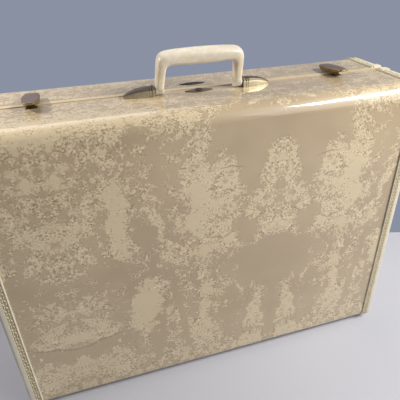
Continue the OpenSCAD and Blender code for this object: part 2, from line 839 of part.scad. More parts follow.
// A latch cover as it lies closed, over the top of the case at z = 0; its lower edge rises to the tip
module latch_cover_closed() {
    difference() {
        union() {
            difference() {
                latch_hull(0);
                latch_hull(latch_sheet);
            }
            intersection() {
                latch_hull(0);
                union() {
                    translate([-tab_x, -keeper_d - latch_play - tab_t, latch_clear]) cube([2 * tab_x, tab_t, latch_top]);
                    for (side = [0, 1])
                        mirror([side, 0, 0])
                            translate([lug_x, latch_pivot_d, latch_pivot_h]) {
                                rotate([0, 90, 0]) cylinder(r = latch_ear_r, h = 3);
                                translate([0, -latch_ear_r, 0]) cube([3, 2 * latch_ear_r, latch_top]);
                            }
                }
            }
        }
        along_x(-latch_w, latch_w)
            polygon([[-latch_rise_d, 0], [-latch_rise_d, latch_clear], [-latch_front, latch_tip_low],
                     [-latch_front - 1, latch_tip_low], [-latch_front - 1, 0]]);
        translate([-latch_w, latch_pivot_d - latch_ear_r - 0.4, 0]) cube([2 * latch_w, latch_w, latch_skirt - latch_ear_r]);
        translate([-latch_w, latch_pivot_d + latch_ear_r + 0.2, 0]) cube([2 * latch_w, latch_w, latch_skirt]);
        translate([0.1 - lug_x, latch_pivot_d - latch_ear_r, 0]) cube([2 * lug_x - 0.2, latch_w, latch_skirt]);
        translate([-lug_end_x, latch_pivot_d, latch_pivot_h]) rotate([0, 90, 0])
            cylinder(r = latch_pin_r + run_gap, h = 2 * lug_end_x);
    }
}

module latch_cover_right() {
    color(bronze)
        at_latch_pivot() rotate([-latch_pop, 0, 0])
            translate([0, -latch_pivot_d, -latch_pivot_h]) latch_cover_closed();
}
module latch_cover_left() { mirror([1, 0, 0]) latch_cover_right(); }

body_shell();
body_end_left();
body_end_right();
body_binding_left();
body_binding_right();
body_clips();
body_rim();
body_lining();
body_feet();
hinge_leaf_body_left();
hinge_leaf_body_right();
hinge_pin_left();
hinge_pin_right();
handle_mount_left();
handle_mount_right();
handle_pin_left();
handle_pin_right();
mount_rivets();
lock_plate();
lock_case();
latch_keeper_left();
latch_keeper_right();
lock_cylinder();
handle_grip();
lid_shell();
lid_end_left();
lid_end_right();
lid_binding_left();
lid_binding_right();
lid_clips();
lid_rim();
lid_lining();
lid_feet();
hinge_leaf_lid_left();
hinge_leaf_lid_right();
lock_strike();
strike_cover();
latch_bracket_left();
latch_bracket_right();
latch_pin_left();
latch_pin_right();
latch_spring_left();
latch_spring_right();
latch_cover_left();
latch_cover_right();
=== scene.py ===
"""Looks of a tapered hard suitcase: printed vinyl covering, stitched bindings, moulded handle,
boat-shaped handle mounts and latch covers, on a pale floor in soft light."""

import math

import bmesh
import bpy
from mathutils import Matrix, Vector


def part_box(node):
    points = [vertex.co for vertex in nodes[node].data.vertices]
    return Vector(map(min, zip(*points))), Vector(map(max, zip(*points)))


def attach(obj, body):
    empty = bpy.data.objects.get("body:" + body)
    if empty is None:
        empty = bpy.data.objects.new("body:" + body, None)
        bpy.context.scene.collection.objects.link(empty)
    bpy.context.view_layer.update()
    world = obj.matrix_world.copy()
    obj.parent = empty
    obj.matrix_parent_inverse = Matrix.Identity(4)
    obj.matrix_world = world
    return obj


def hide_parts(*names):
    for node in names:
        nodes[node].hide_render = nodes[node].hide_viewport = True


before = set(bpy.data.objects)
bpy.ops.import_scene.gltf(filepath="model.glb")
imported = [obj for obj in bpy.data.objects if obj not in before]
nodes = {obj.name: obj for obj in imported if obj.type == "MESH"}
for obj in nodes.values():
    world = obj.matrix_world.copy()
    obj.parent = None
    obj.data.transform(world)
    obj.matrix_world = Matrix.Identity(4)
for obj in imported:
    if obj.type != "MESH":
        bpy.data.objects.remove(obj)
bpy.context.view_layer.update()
MM = 0.001

# Sizes of the case: its box is that of the front panel, its depth that of one half at the top
shell_low, shell_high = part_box("body_shell")
UNDERSIDE, TOP, END_X = shell_low.z, shell_high.z, shell_high.x
HALF_DEPTH, TAPER = 90 * MM, 15 * MM
TOP_BEND, BOTTOM_BEND = 22 * MM, 12 * MM
SLOPE = math.atan(TAPER / (TOP - UNDERSIDE))
ENDS = {"left": -1, "right": 1}
HALVES = {"body": -1, "lid": 1}


# Materials

def paint(name):
    """A new material with its node tree and its shader."""
    made = bpy.data.materials.new(name)
    made.use_nodes = True
    return made, made.node_tree, made.node_tree.nodes["Principled BSDF"]


def give(tree, socket, value):
    """Link a socket to another node, or set its value."""
    if isinstance(value, bpy.types.NodeSocket):
        tree.links.new(value, socket)
    else:
        socket.default_value = value


def give_all(tree, sockets, values):
    for socket, value in zip(sockets, values):
        give(tree, socket, value)


def fill(tree, node, **sockets):
    """Give several sockets of a node, by their names."""
    for key, value in sockets.items():
        give(tree, node.inputs[key.replace("_", " ")], value)


def step(tree, kind, settings=None, **sockets):
    """A new shader node with its settings and its sockets."""
    made = tree.nodes.new(kind)
    for key, value in (settings or {}).items():
        setattr(made, key, value)
    fill(tree, made, **sockets)
    return made


def sums(tree, how, *values):
    made = step(tree, "ShaderNodeMath", {"operation": how})
    give_all(tree, made.inputs, values)
    return made.outputs[0]


def vectors(tree, how, *values):
    made = step(tree, "ShaderNodeVectorMath", {"operation": how})
    give_all(tree, made.inputs, values)
    return made.outputs


def fade(tree, value, low, high, strength=1.0):
    """0 at low, the strength at high, smooth between them."""
    return step(tree, "ShaderNodeMapRange", {"interpolation_type": "SMOOTHSTEP"}, Value=value,
                From_Min=low, From_Max=high, To_Max=strength).outputs["Result"]


def stretch(tree, value, low, high, new_low, new_high):
    """The range from low to high, laid evenly onto a new one."""
    return step(tree, "ShaderNodeMapRange", Value=value, From_Min=low, From_Max=high,
                To_Min=new_low, To_Max=new_high).outputs["Result"]


# Sockets of a Mix node that mixes colours
MIX_SHARE, MIX_FIRST, MIX_SECOND, MIX_RESULT = 0, 6, 7, 2


def mix(tree, share, first, second):
    made = step(tree, "ShaderNodeMix", {"data_type": "RGBA"})
    sockets = [made.inputs[number] for number in (MIX_SHARE, MIX_FIRST, MIX_SECOND)]
    give_all(tree, sockets, (share, first, second))
    return made.outputs[MIX_RESULT]


def tone(r, g, b):
    """A colour given as it looks on a screen, 0 to 255."""
    shares = [c / 255 for c in (r, g, b)]
    linear = [s / 12.92 if s < 0.0404 else ((s + 0.055) / 1.055) ** 2.4 for s in shares]
    return (*linear, 1.0)


def noise(tree, place, waves, detail=6.0, roughness=0.6, distortion=0.0):
    return step(tree, "ShaderNodeTexNoise", Vector=place, Scale=waves, Detail=detail,
                Roughness=roughness, Distortion=distortion).outputs["Fac"]


def here(tree):
    return step(tree, "ShaderNodeTexCoord").outputs["Object"]


# The print of the covering is mirrored about upright lines that stand a pitch apart. Its patches,
# pale ones and bare ones (below zero), as (distance from a mirror line, height up and over the
# covering, half width, half height, slant in degrees, strength), in millimetres
MIRROR_X, MIRROR_PITCH = 95, 317
PATCHES = [
    # pale crown and arms on the first mirror line
    (0, 380, 34, 28, 0, 0.25), (0, 318, 9, 13, 0, -0.9), (55, 322, 60, 32, 0, 0.25),
    (0, 262, 34, 34, 0, 0.30),
    # bare band at the top, bare necks, bare field in the middle
    (48, 430, 54, 34, 0, -1.2), (46, 375, 15, 42, 0, -0.9), (50, 274, 18, 20, 0, -1.0),
    (0, 203, 80, 40, 0, -1.2),
    # pale columns and the wings beside them
    (124, 348, 17, 62, 0, 0.70), (112, 240, 16, 50, 0, 0.30), (80, 385, 18, 18, 0, 0.35),
    (80, 260, 22, 15, 0, 0.45), (235, 322, 13, 66, 0, 0.65), (180, 312, 9, 22, 0, 0.45),
    (172, 262, 14, 14, 0, 0.30),
    # bare gaps between the columns
    (168, 375, 16, 50, 0, -0.45), (205, 300, 14, 60, 0, -0.40), (270, 300, 18, 46, 0, -0.25),
    (160, 225, 45, 16, 0, -0.30), (265, 240, 40, 20, 0, -0.45), (200, 420, 40, 20, 0, -0.25),
    # bands on the second mirror line
    (306, 322, 18, 24, 0, 0.40), (310, 140, 52, 18, 0, 0.35), (300, 106, 60, 12, 0, -0.7),
    (318, 55, 70, 32, 0, 0.22),
    # bush and grove low down
    (208, 165, 18, 44, 8, 0.75), (192, 95, 14, 26, 0, -0.25), (118, 150, 10, 46, 0, 0.40),
    (112, 62, 30, 40, 0, 0.30), (152, 110, 16, 30, 0, 0.15), (150, 55, 18, 30, 0, 0.25),
    (28, 105, 13, 50, 0, 0.20), (64, 32, 15, 18, 0, 0.50), (30, 32, 14, 18, 0, 0.50),
    (78, 105, 22, 60, 0, -0.5), (0, 90, 16, 80, 0, -0.8), (240, 190, 22, 50, 0, -0.30),
    # trunks
    (50, 95, 5, 75, 9, -1.2), (157, 130, 6, 75, -8, -0.9), (60, 175, 4, 24, -14, 0.7),
    (195, 100, 5, 50, 10, -0.9), (140, 125, 10, 24, 0, -0.6),
    # top of the case
    (70, 520, 110, 34, 0, -0.25), (170, 470, 60, 16, 0, 0.35), (300, 475, 110, 26, 0, 0.45),
    (140, 520, 60, 20, 0, 0.20),
]
# Thin dark twigs, laid out in the same way
TWIGS = [
    (78, 377, 20, 0.9, 14, 0.6), (80, 269, 22, 0.9, -17, 0.6), (12, 374, 20, 0.8, 6, 0.4),
    (280, 121, 46, 1.1, -14, 0.6), (122, 268, 16, 0.7, 30, 0.4),
]
# A patch fades between these shares of its half width and half height
PATCH_OUTER, PATCH_INNER = 1.6, 0.3
# How the edges of the patches and of the twigs are shaken, as (waves to the metre, reach)
RAGGED = [(20.0, 40 * MM), (90.0, 16 * MM)]
CROOKED = [(30.0, 20 * MM)]
# How fine the noises of the print are, in waves to the metre
COVER_WAVES, CLUMP_WAVES, LACE_WAVES, LEAF_WAVES = 24.0, 75.0, 55.0, 185.0
DUST_WAVES, BLOTCH_WAVES, GRAIN_WAVES = 390.0, 6.0, 1500.0
# Colours of the print: the ground and the pale parts change between two shades each
GROUND = tone(174, 155, 126), tone(185, 166, 136)
PALE = tone(205, 188, 155), tone(212, 195, 163)
DARK_MARK, PALE_MARK, TWIG_BROWN = tone(149, 131, 103), tone(224, 208, 176), tone(138, 119, 92)


def shaken(tree, place, shakes):
    """The place, moved about along the covering by noises."""
    for waves, reach in shakes:
        drift = step(tree, "ShaderNodeTexNoise", Vector=place, Scale=waves, Detail=2.0)
        drift = vectors(tree, "SUBTRACT", drift.outputs["Color"], (0.5, 0.5, 0.5))["Vector"]
        place = vectors(tree, "MULTIPLY_ADD", drift, (reach, 0.0, reach), place)["Vector"]
    return place


def patch(tree, place, x, height, half_w, half_h, slant, strength):
    """The strength inside an oval, 0 outside it, soft between them."""
    local = step(tree, "ShaderNodeMapping", {"vector_type": "TEXTURE"}, Vector=place,
                 Location=(x * MM, 0, height * MM), Rotation=(0, math.radians(-slant), 0),
                 Scale=(half_w * MM, 1, half_h * MM)).outputs["Vector"]
    reach = vectors(tree, "LENGTH", local)["Value"]
    return fade(tree, reach, PATCH_OUTER, PATCH_INNER, strength)


def print_place(tree, spot, wraps):
    """Where a spot lies on the print: out from a mirror line, and up and over the case."""
    axis = step(tree, "ShaderNodeSeparateXYZ", Vector=spot).outputs
    across, depth = (axis["X"], axis["Y"]) if wraps else (axis["Y"], axis["X"])
    aside = sums(tree, "SUBTRACT", across, MIRROR_X * MM)
    aside = sums(tree, "PINGPONG", aside, MIRROR_PITCH * MM)
    height = axis["Z"]
    if wraps:
        over_top = sums(tree, "SUBTRACT", HALF_DEPTH, sums(tree, "ABSOLUTE", depth))
        height = sums(tree, "ADD", height, sums(tree, "MAXIMUM", over_top, 0.0))
    return step(tree, "ShaderNodeCombineXYZ", X=aside, Y=depth, Z=height).outputs["Vector"]


def print_cover(tree, place):
    """How thickly the pale print covers the ground."""
    cover = stretch(tree, noise(tree, place, COVER_WAVES, 4.0), 0.3, 0.7, 0.12, 0.72)
    clump = stretch(tree, noise(tree, place, CLUMP_WAVES, 3.0), 0.3, 0.7, -0.5, 0.5)
    cover = sums(tree, "ADD", cover, clump)
    ragged = shaken(tree, place, RAGGED)
    for oval in PATCHES:
        cover = sums(tree, "ADD", cover, patch(tree, ragged, *oval))
    return cover


def print_colour(tree, place):
    """Tan ground with a pale lace of fine leaves that thickens into solid patches, dark and
    pale marks in the lace, and dark twigs."""
    cover = print_cover(tree, place)
    leaf = stretch(tree, noise(tree, place, LEAF_WAVES, 3.0, 0.75), 0.28, 0.72, -0.5, 0.5)
    pale = fade(tree, sums(tree, "ADD", cover, leaf), 0.36, 0.62)
    blotch = fade(tree, noise(tree, place, BLOTCH_WAVES, 3.0), 0.35, 0.65)
    colour = mix(tree, pale, mix(tree, blotch, *GROUND), mix(tree, blotch, *PALE))
    lace = sums(tree, "MULTIPLY", fade(tree, cover, 0.0, 0.35), fade(tree, cover, 1.25, 0.70))
    holes = fade(tree, noise(tree, place, LACE_WAVES, 3.0), 0.34, 0.56)
    lace = sums(tree, "MULTIPLY", lace, holes)
    dust = noise(tree, place, DUST_WAVES, 2.0, 0.6)
    for mark, low, high in ((DARK_MARK, 0.48, 0.35), (PALE_MARK, 0.52, 0.65)):
        share = sums(tree, "MULTIPLY", lace, fade(tree, dust, low, high))
        colour = mix(tree, share, colour, mark)
    crooked = shaken(tree, place, CROOKED)
    for oval in TWIGS:
        colour = mix(tree, patch(tree, crooked, *oval), colour, TWIG_BROWN)
    return colour


def printed_vinyl(name, wraps):
    """Glossy printed vinyl. The print of a wrapped panel goes on over the top of the case; that
    of an end panel lies flat on the end."""
    made, tree, shader = paint(name)
    spot = here(tree)
    grain = step(tree, "ShaderNodeBump", Height=noise(tree, spot, GRAIN_WAVES, 2.0, 0.5),
                 Strength=0.05, Distance=0.4 * MM).outputs["Normal"]
    fill(tree, shader, Base_Color=print_colour(tree, print_place(tree, spot, wraps)),
         Normal=grain, Roughness=0.45, Coat_Weight=1.0, Coat_Roughness=0.05)
    return made


def plain(name, colour, roughness, metal=0.0, uneven=0.06, waves=60.0, coat=0.0):
    """One colour, a little uneven."""
    made, tree, shader = paint(name)
    blotch = fade(tree, noise(tree, here(tree), waves, 5.0), 0.3, 0.7)
    dark = tuple(c * (1 - 2 * uneven) for c in colour[:3]) + (1.0,)
    light = tuple(min(c * (1 + uneven), 1.0) for c in colour[:3]) + (1.0,)
    fill(tree, shader, Base_Color=mix(tree, blotch, dark, light), Roughness=roughness,
         Metallic=metal, Coat_Weight=coat, Coat_Roughness=0.1)
    return made


def pearl_plastic():
    """Ivory moulding with faint pearly swirls."""
    made, tree, shader = paint("pearl_plastic")
    swirl = fade(tree, noise(tree, here(tree), 38.0, 4.0, 0.55, 2.2), 0.35, 0.65)
    fill(tree, shader, Base_Color=mix(tree, swirl, tone(219, 210, 192), tone(229, 222, 206)),
         Roughness=0.4, Subsurface_Weight=0.4, Subsurface_Radius=(1.0, 0.8, 0.6),
         Subsurface_Scale=8 * MM, Coat_Weight=0.25, Coat_Roughness=0.15)
    return made


def lining_cloth():
    """Satin weave with crossing threads as bumps."""
    made, tree, shader = paint("lining_cloth")
    place = here(tree)
    threads = [step(tree, "ShaderNodeTexWave", {"bands_direction": way}, Vector=place,
                    Scale=300.0).outputs["Fac"] for way in ("X", "Z")]
    weave = step(tree, "ShaderNodeBump", Height=sums(tree, "ADD", *threads),
                 Strength=0.25, Distance=0.3 * MM).outputs["Normal"]
    shade = mix(tree, noise(tree, place, 25.0), tone(178, 150, 112), tone(200, 174, 136))
    fill(tree, shader, Base_Color=shade, Normal=weave, Roughness=0.5, Sheen_Weight=0.3)
    return made


vinyl = printed_vinyl("printed_vinyl", True)
end_vinyl = printed_vinyl("printed_vinyl_ends", False)
cloth = lining_cloth()
ivory = pearl_plastic()
binding_cream = plain("binding_cream", tone(220, 213, 194), 0.45, uneven=0.04, waves=40, coat=0.15)
stitched_band = plain("stitched_band", tone(184, 168, 134), 0.6, uneven=0.08, waves=200)
thread = plain("thread", tone(222, 212, 184), 0.7)
front_rim = plain("front_rim", tone(176, 156, 130), 0.45)
rear_rim = plain("rear_rim", tone(204, 187, 156), 0.4, uneven=0.03)
brass = plain("worn_brass", tone(188, 176, 146), 0.41, metal=1.0, uneven=0.08, waves=90)
# Brass of the latch flanks, made darker and olive as painted shade
flank_brass_with_painted_shade = plain("flank_brass_with_painted_shade", tone(146, 126, 84), 0.4, metal=0.7, uneven=0.1, waves=120)
bronze = plain("tarnished_bronze", tone(122, 106, 98), 0.45, metal=0.4, uneven=0.06, waves=70)
# Dark bronze is the lock plate's finish; on the mount decks it is also a painted dark reflection
dark_bronze_and_painted_reflection = plain("dark_bronze_and_painted_reflection", tone(98, 86, 72), 0.45, metal=0.4)
blackened = plain("blackened_bronze", tone(66, 57, 49), 0.45, metal=0.4)
# Brass inside the latch covers and on their keepers, painted dark as painted shade in the hollow
inside_brass_painted_shade = plain("brass_painted_dark_as_shade", tone(92, 74, 40), 0.5, metal=0.6)
steel = plain("steel", tone(176, 174, 168), 0.35, metal=1.0)
black = plain("black_plate", tone(46, 42, 40), 0.4)


# Shapes

def show(name, made, materials, body, sharp, stands_for=()):
    """Turn a bmesh into a piece that rides on a body."""
    mesh = bpy.data.meshes.new(name)
    made.to_mesh(mesh)
    made.free()
    for material in materials:
        mesh.materials.append(material)
    mesh.shade_smooth()
    mesh.set_sharp_from_angle(angle=math.radians(sharp))
    piece = bpy.data.objects.new(name, mesh)
    bpy.context.scene.collection.objects.link(piece)
    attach(piece, body)
    if stands_for:
        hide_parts(*stands_for)


def draw_out(bm, rings, side_paint=(), step_paint=()):
    """Extrude a ring of points through a row of rings and close both ends. The paint of a side
    comes from its place round the ring or from its step along the row."""
    face = bm.faces.new([bm.verts.new(p) for p in rings[0]])
    for number, ring in enumerate(rings[1:]):
        face = bmesh.ops.extrude_discrete_faces(bm, faces=[face])["faces"][0]
        corners = list(face.verts)
        for vert, place in zip(corners, ring):
            vert.co = place
        paints = side_paint or step_paint[number:number + 1] * len(corners)
        for vert, following, side_colour in zip(corners, corners[1:] + corners[:1], paints):
            for side in bm.edges.get((vert, following)).link_faces:
                if side is not face:
                    side.material_index = side_colour
    if step_paint:
        face.material_index = step_paint[-1]
    rims = [e for e in bm.edges if e.is_boundary]
    if rims:
        bmesh.ops.holes_fill(bm, edges=rims)
    bmesh.ops.recalc_face_normals(bm, faces=bm.faces)


def arc(centre, r, start, end, count):
    """Points and outward directions along an arc."""
    turns = [math.radians(start + (end - start) * i / count) for i in range(count + 1)]
    ways = [Vector((math.cos(a), math.sin(a))) for a in turns]
    return [(Vector(centre) + way * r, way) for way in ways]


# Bindings: a rolled strip round each end of each half, with a bead and two rows of stitches.
# A strip starts a little way from the seam
BINDING_T, BINDING_W, BINDING_END_W = 2 * MM, 17 * MM, 11 * MM
BINDING_SEAT, BINDING_HEM, ROLL, BEAD = 0.02 * MM, 0.6 * MM, 5 * MM, 1.1 * MM
BAND_OUT, BAND_IN, BAND_SUNK, BAND_LIP = -7.4 * MM, -14.2 * MM, 0.5 * MM, 0.4 * MM
STITCH_PITCH, STITCH_L, STITCH_R = 6 * MM, 5.4 * MM, 0.9 * MM
STITCH_UP = BINDING_T - 0.8 * BAND_SUNK
STITCH_ROWS = ((-13.9 * MM, -11.2 * MM), (-10.4 * MM, -7.7 * MM))
SEAM_GAPS = {"body": 2.7 * MM, "lid": 9.4 * MM}
BEND_STEPS = 12


def edge_path(half):
    """Places and outward directions, as (depth, height), along the end of a half: underside,
    face and top."""
    def bend_centre(z, r):
        return HALF_DEPTH + TAPER * (TOP - z) / (TOP - UNDERSIDE) - r / math.cos(SLOPE), z

    lean, gap = math.degrees(SLOPE), SEAM_GAPS[half]
    low_bend = bend_centre(UNDERSIDE + BOTTOM_BEND, BOTTOM_BEND)
    high_bend = bend_centre(TOP - TOP_BEND, TOP_BEND)
    path = [(Vector((gap, UNDERSIDE)), Vector((0, -1)))]
    path += arc(low_bend, BOTTOM_BEND, -90, lean, BEND_STEPS)
    path += arc(high_bend, TOP_BEND, lean, 90, BEND_STEPS)
    return path + [(Vector((gap, TOP)), Vector((0, 1)))]


def on_end(half, end, place, out, u, v):
    """The point that lies u outwards from the end of a half and v outwards from its covering."""
    spot = place + out * v
    return Vector((ENDS[end] * (END_X + u), HALVES[half] * spot.x, spot.y))


def binding_section():
    """The binding cut across, as (outwards from the end, outwards from the covering), with the
    paint of each side."""
    roll_centre = BINDING_T - ROLL
    points = [(-BINDING_W, BINDING_SEAT), (0, BINDING_SEAT), (BINDING_SEAT, -BINDING_END_W),
              (0.7 * BINDING_T, -BINDING_END_W), (BINDING_T, BINDING_HEM - BINDING_END_W)]
    points += [tuple(p) for p, _ in arc((roll_centre, roll_centre), ROLL, 0, 90, 8)]
    points += [(BAND_OUT + BAND_LIP, BINDING_T), (BAND_OUT, BINDING_T - BAND_SUNK)]
    band = len(points) - 1
    points += [(BAND_IN, BINDING_T - BAND_SUNK), (BAND_IN - BAND_LIP, BINDING_T)]
    bead_centre = BEAD - BINDING_W, BINDING_T - 0.5 * BEAD
    points += [tuple(p) for p, _ in arc(bead_centre, BEAD, 12, 180, 9)]
    return points, [1 if k == band else 0 for k in range(len(points))]


def binding(half, end):
    """The rolled strip round one end of a half."""
    points, paints = binding_section()
    rings = [[on_end(half, end, place, out, u, v) for u, v in points]
             for place, out in edge_path(half)]
    strip = bmesh.new()
    draw_out(strip, rings, side_paint=paints)
    show(f"{half}_binding_{end}_rolled", strip, [binding_cream, stitched_band], half, 30,
         [f"{half}_binding_{end}"])


def stitch(stitches, start, end):
    """One stitch, a slim ball drawn out from start to end."""
    turn = (end - start).to_track_quat("Z", "Y").to_matrix().to_4x4()
    grow = Matrix.Diagonal((STITCH_R, STITCH_R, (end - start).length / 2, 1))
    bmesh.ops.create_icosphere(stitches, subdivisions=1, radius=1.0,
                               matrix=Matrix.Translation((start + end) / 2) @ turn @ grow)


def stitching(half, end):
    """Two rows of slanting stitches along the sunk band of a binding."""
    path = edge_path(half)
    stitches = bmesh.new()
    along, following, count = 0.0, STITCH_PITCH, 0
    for (place, out), (next_place, next_out) in zip(path, path[1:]):
        run = (next_place - place).length
        while following <= along + run:
            share = (following - along) / run
            spot = place.lerp(next_place, share)
            way = out.lerp(next_out, share).normalized()
            ahead = Vector((-way.y, way.x)) * STITCH_L / 2
            for row, sides in enumerate(STITCH_ROWS):
                first, last = sides if (count + row) % 2 else sides[::-1]
                stitch(stitches, on_end(half, end, spot - ahead, way, first, STITCH_UP),
                       on_end(half, end, spot + ahead, way, last, STITCH_UP))
            following += STITCH_PITCH
            count += 1
        along += run
    show(f"{half}_stitching_{end}", stitches, [thread], half, 80)


# Handle: two legs that draw inwards and a grip that is thickest in its middle. It leans as it
# rests, and its legs end in round eyes on the pins
PIVOT = Vector((0, -10 * MM, TOP + 8 * MM))
HALF_SPAN, RISE, SQUARE, DRAW = 56 * MM, 44 * MM, 11, 3 * MM
LEG_W, LEG_DEPTH = 12 * MM, 14.5 * MM
GRIP_T, GRIP_END_T, GRIP_DEPTH = 19.5 * MM, 14 * MM, 19.5 * MM
SECTION_SQUARE = 3.2
LEAN = math.radians(15)
HANDLE_STEPS, HANDLE_SIDES = 140, 36
EYE_SIDES, EYE_ROUND = 48, 1.4 * MM


def power(v, p):
    return math.copysign(abs(v) ** p, v)


def handle_ring(turn):
    """The handle cut across at an angle seen from the pivot."""
    reach = (abs(math.cos(turn)) ** SQUARE + abs(math.sin(turn)) ** SQUARE) ** (-1 / SQUARE)
    x, y = reach * math.cos(turn), reach * math.sin(turn)
    half_grip = (GRIP_T - (GRIP_T - GRIP_END_T) * x * x) / 2
    outer, inner = [Vector((x * (HALF_SPAN - DRAW * y + side * LEG_W / 2),
                            y * (RISE + side * half_grip))) for side in (1, -1)]
    middle, half = (outer + inner) / 2, (outer - inner) / 2
    half_depth = (LEG_DEPTH + (GRIP_DEPTH - LEG_DEPTH) * y ** 3 * (4 - 3 * y)) / 2
    ring = []
    for k in range(HANDLE_SIDES):
        a = 2 * math.pi * k / HANDLE_SIDES
        across = middle + half * power(math.cos(a), 2 / SECTION_SQUARE)
        depth = half_depth * power(math.sin(a), 2 / SECTION_SQUARE)
        ring.append(Vector((across.x, depth, across.y)))
    return ring


def handle():
    """The moulded grip with its legs and eyes, in one piece."""
    lean = Matrix.Translation(PIVOT) @ Matrix.Rotation(LEAN, 4, "X")
    turns = [math.pi * i / HANDLE_STEPS for i in range(HANDLE_STEPS + 1)]
    grip = bmesh.new()
    draw_out(grip, [[lean @ p for p in handle_ring(turn)] for turn in turns])
    for side in ENDS.values():
        stand = lean @ Matrix.Translation((side * HALF_SPAN, 0, 0))
        stand = stand @ Matrix.Rotation(math.pi / 2, 4, "Y")
        eye = bmesh.ops.create_cone(grip, cap_ends=True, segments=EYE_SIDES, radius1=LEG_DEPTH / 2,
                                    radius2=LEG_DEPTH / 2, depth=LEG_W, matrix=stand)
        rims = {e for v in eye["verts"] for e in v.link_edges
                if any(len(f.verts) > 4 for f in e.link_faces)}
        bmesh.ops.bevel(grip, geom=list(rims), offset=EYE_ROUND, offset_type="OFFSET",
                        affect="EDGES", segments=3, profile=0.5, material=-1)
    show("handle_moulded", grip, [ivory], "handle", 40, ["handle_grip"])


# Handle mounts: (distance from the collar's face, width, height) in millimetres, from the collar
# to the tip
MOUNT_X = 63.2 * MM
MOUNT_STATIONS = [
    (0, 16.4, 13.0), (0.4, 17, 13.5), (3.1, 17, 13.5), (3.5, 14.8, 12.0), (4.7, 14.8, 12.0),
    (5.1, 16.2, 12.9), (6.6, 16.2, 12.9), (7.0, 14.8, 12.0), (8.0, 14.8, 12.0), (8.4, 16.0, 12.7),
    (15.3, 15.4, 12.3), (25.2, 13.9, 11.0), (31.5, 11.0, 9.0), (36.3, 8.0, 7.0), (40.1, 5.4, 5.0),
    (41.6, 4.0, 4.0), (42, 3.0, 3.4),
]
# Half of a mount cut across, as shares of its width and height
MOUNT_SIDE = [(0.5, 0.0), (0.49, 0.28), (0.472, 0.5), (0.455, 0.62)]
MOUNT_DECK = [(0.44, 0.68), (0.39, 0.83), (0.32, 0.94), (0.22, 1.0)]


def mount(end):
    """Boat-shaped mount with brass sides, a rib beside the collar and a crowned deck painted dark
    bronze, partly as a painted dark reflection.
    """
    half = MOUNT_SIDE + MOUNT_DECK
    section = half + [(-across, up) for across, up in reversed(half)]
    # The deck, from deck_low up, is painted dark bronze, partly as a painted dark reflection; the
    # sides below it are brass
    deck_low = MOUNT_DECK[0][1]
    paints = [1 if min(up, next_up) >= deck_low else 0
              for (_, up), (_, next_up) in zip(section, section[1:] + section[:1])]

    def station(along, w, h):
        x = ENDS[end] * (MOUNT_X + along * MM)
        return [Vector((x, PIVOT.y + across * w * MM, TOP + up * h * MM)) for across, up in section]

    boat = bmesh.new()
    draw_out(boat, [station(*sizes) for sizes in MOUNT_STATIONS], side_paint=paints)
    show(f"mount_{end}_ribbed", boat, [brass, dark_bronze_and_painted_reflection], "body", 25,
         [f"handle_mount_{end}"])


# Latch covers: boats that are open below and stand popped up about their pins. Millimetres, with
# depths counted from the seam and heights from the top of the case
LATCH_PIVOT_D, LATCH_PIVOT_H = 25, 5.5
LATCH_POP = math.radians(5)
LATCH_W, LATCH_FRONT, LATCH_REAR, LATCH_WIDE_D = 23, 27, 31, 6
LATCH_TIP_W, LATCH_CORNER = 12, 3.5
# The skirt rises behind the pin and towards the tip. Where it has risen, the levels below it are
# pressed together to a share of their heights
LATCH_SKIRT_LOW, LATCH_SKIRT_REAR, LATCH_SKIRT_TIP = 2, 4.5, 5.5
LATCH_REAR_RISE_D, LATCH_REAR_RUN, LATCH_TIP_RISE_D = LATCH_PIVOT_D + 1, 1.5, -10.5
LATCH_PRESSED = 0.05
# Height and inset of each level, over the inside from its ceiling down and then up the outside
LATCH_LEVELS = [
    (8.2, 3.3), (7.2, 1.2), (5, 1.6), (2, 2.4), (2, 1.5), (3.6, 1.05), (5.5, 0.5), (6.9, 0.1),
    (7.3, 0), (7.65, 0.1), (8.0, 0.45), (8.35, 1.05), (8.65, 1.8), (8.9, 2.6), (9.1, 3.3),
]
# Height of the crown's levels and their share of the last level
LATCH_CROWN = [(9.3, 0.74), (9.43, 0.46), (9.5, 0.16)]
# Paint between one level and the next: brass painted dark inside as painted shade of the hollow,
# brass on the flank darkened as painted shade, bronze on the top
LATCH_PAINT = [2] * 3 + [1] * 7 + [0] * 7
# Blocks under a cover, as (centre, size): the tab at the keeper and two lugs on the pin
LATCH_BLOCKS = [((0, -9.1, 5.6), (8.0, 1.6, 7.0))]
LATCH_BLOCKS += [((side * 6.6, LATCH_PIVOT_D, 6.6), (1.6, 4.4, 4.4)) for side in ENDS.values()]


def latch_outline():
    """Points and outward directions round a cover, seen from above: curved sides, narrower at
    the front."""
    drop, reach = (LATCH_W - LATCH_TIP_W) / 2, LATCH_FRONT + LATCH_WIDE_D
    side_r = (reach ** 2 + drop ** 2) / (2 * drop)
    core_r = side_r - LATCH_CORNER
    centre = Vector((LATCH_W / 2 - side_r, LATCH_WIDE_D))
    front = math.degrees(math.asin((LATCH_CORNER - LATCH_FRONT - LATCH_WIDE_D) / core_r))
    rear = math.degrees(math.asin((LATCH_REAR - LATCH_CORNER - LATCH_WIDE_D) / core_r))
    corners = []
    for turn, start, end in ((front, -90, front), (rear, rear, 90)):
        way = Vector((math.cos(math.radians(turn)), math.sin(math.radians(turn))))
        corners.append(arc(centre + way * core_r, LATCH_CORNER, start, end, 6))
    right = corners[0] + arc(centre, side_r, front, rear, 16)[1:-1] + corners[1]
    return right + [(Vector((-p.x, p.y)), Vector((-way.x, way.y))) for p, way in reversed(right)]


def latch_skirt(depth):
    """Height of a cover's lower edge at a depth."""
    rear = min(max((depth - LATCH_REAR_RISE_D) / LATCH_REAR_RUN, 0), 1)
    tip = min(max((LATCH_TIP_RISE_D - depth) / (LATCH_FRONT + LATCH_TIP_RISE_D), 0), 1)
    return LATCH_SKIRT_LOW + (LATCH_SKIRT_REAR - LATCH_SKIRT_LOW) * rear \
        + (LATCH_SKIRT_TIP - LATCH_SKIRT_LOW) * tip


